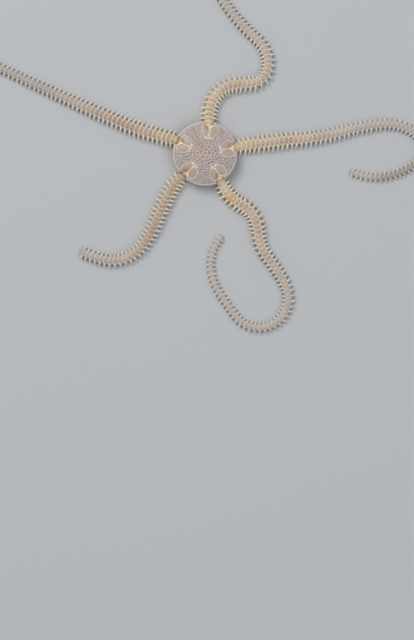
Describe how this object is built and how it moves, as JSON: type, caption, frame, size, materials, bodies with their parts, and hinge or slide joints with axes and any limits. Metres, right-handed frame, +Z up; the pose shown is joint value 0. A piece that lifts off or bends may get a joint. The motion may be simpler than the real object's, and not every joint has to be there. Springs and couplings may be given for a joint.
{
  "type": "brittle star",
  "caption": "Life-size brittle star resting on its mouth side: a flat scaled disc with long, spiny, curling arms.",
  "frame": {"origin": "middle of the star's footprint, on the floor that its arms lie on", "axes": "+Z up, from the mouth side to the back of the disc; +X along the longest way across the spread arms"},
  "size_m": [0.0978, 0.0806, 0.0037],
  "materials": {
    "scaled_disc": "matte, finely scaled",
    "arm_plates": "satin, plated",
    "pink_skin": "soft, matte",
    "jaw_plates": "satin"
  },
  "bodies": {
    "root": {"arm_a_1": "arm_plates", "arm_a_2": "arm_plates", "arm_a_3": "arm_plates", "arm_a_4": "arm_plates", "arm_a_5": "arm_plates", "arm_a_6": "arm_plates", "arm_a_7": "arm_plates", "arm_b_1": "arm_plates", "arm_b_2": "arm_plates", "arm_b_3": "arm_plates", "arm_b_4": "arm_plates", "arm_b_5": "arm_plates", "arm_b_6": "arm_plates", "arm_c_1": "arm_plates", "arm_c_2": "arm_plates", "arm_c_3": "arm_plates", "arm_c_4": "arm_plates", "arm_c_5": "arm_plates", "arm_c_6": "arm_plates", "arm_c_7": "arm_plates", "arm_c_8": "arm_plates", "arm_d_1": "arm_plates", "arm_d_2": "arm_plates", "arm_d_3": "arm_plates", "arm_d_4": "arm_plates", "arm_e_1": "arm_plates", "arm_e_2": "arm_plates", "arm_e_3": "arm_plates", "arm_e_4": "arm_plates", "arm_e_5": "arm_plates", "belly_1": "pink_skin", "belly_2": "pink_skin", "belly_3": "pink_skin", "belly_4": "pink_skin", "belly_5": "pink_skin", "disc": "scaled_disc", "jaw_1": "jaw_plates", "jaw_2": "jaw_plates", "jaw_3": "jaw_plates", "jaw_4": "jaw_plates", "jaw_5": "jaw_plates"}
  },
  "joints": []
}
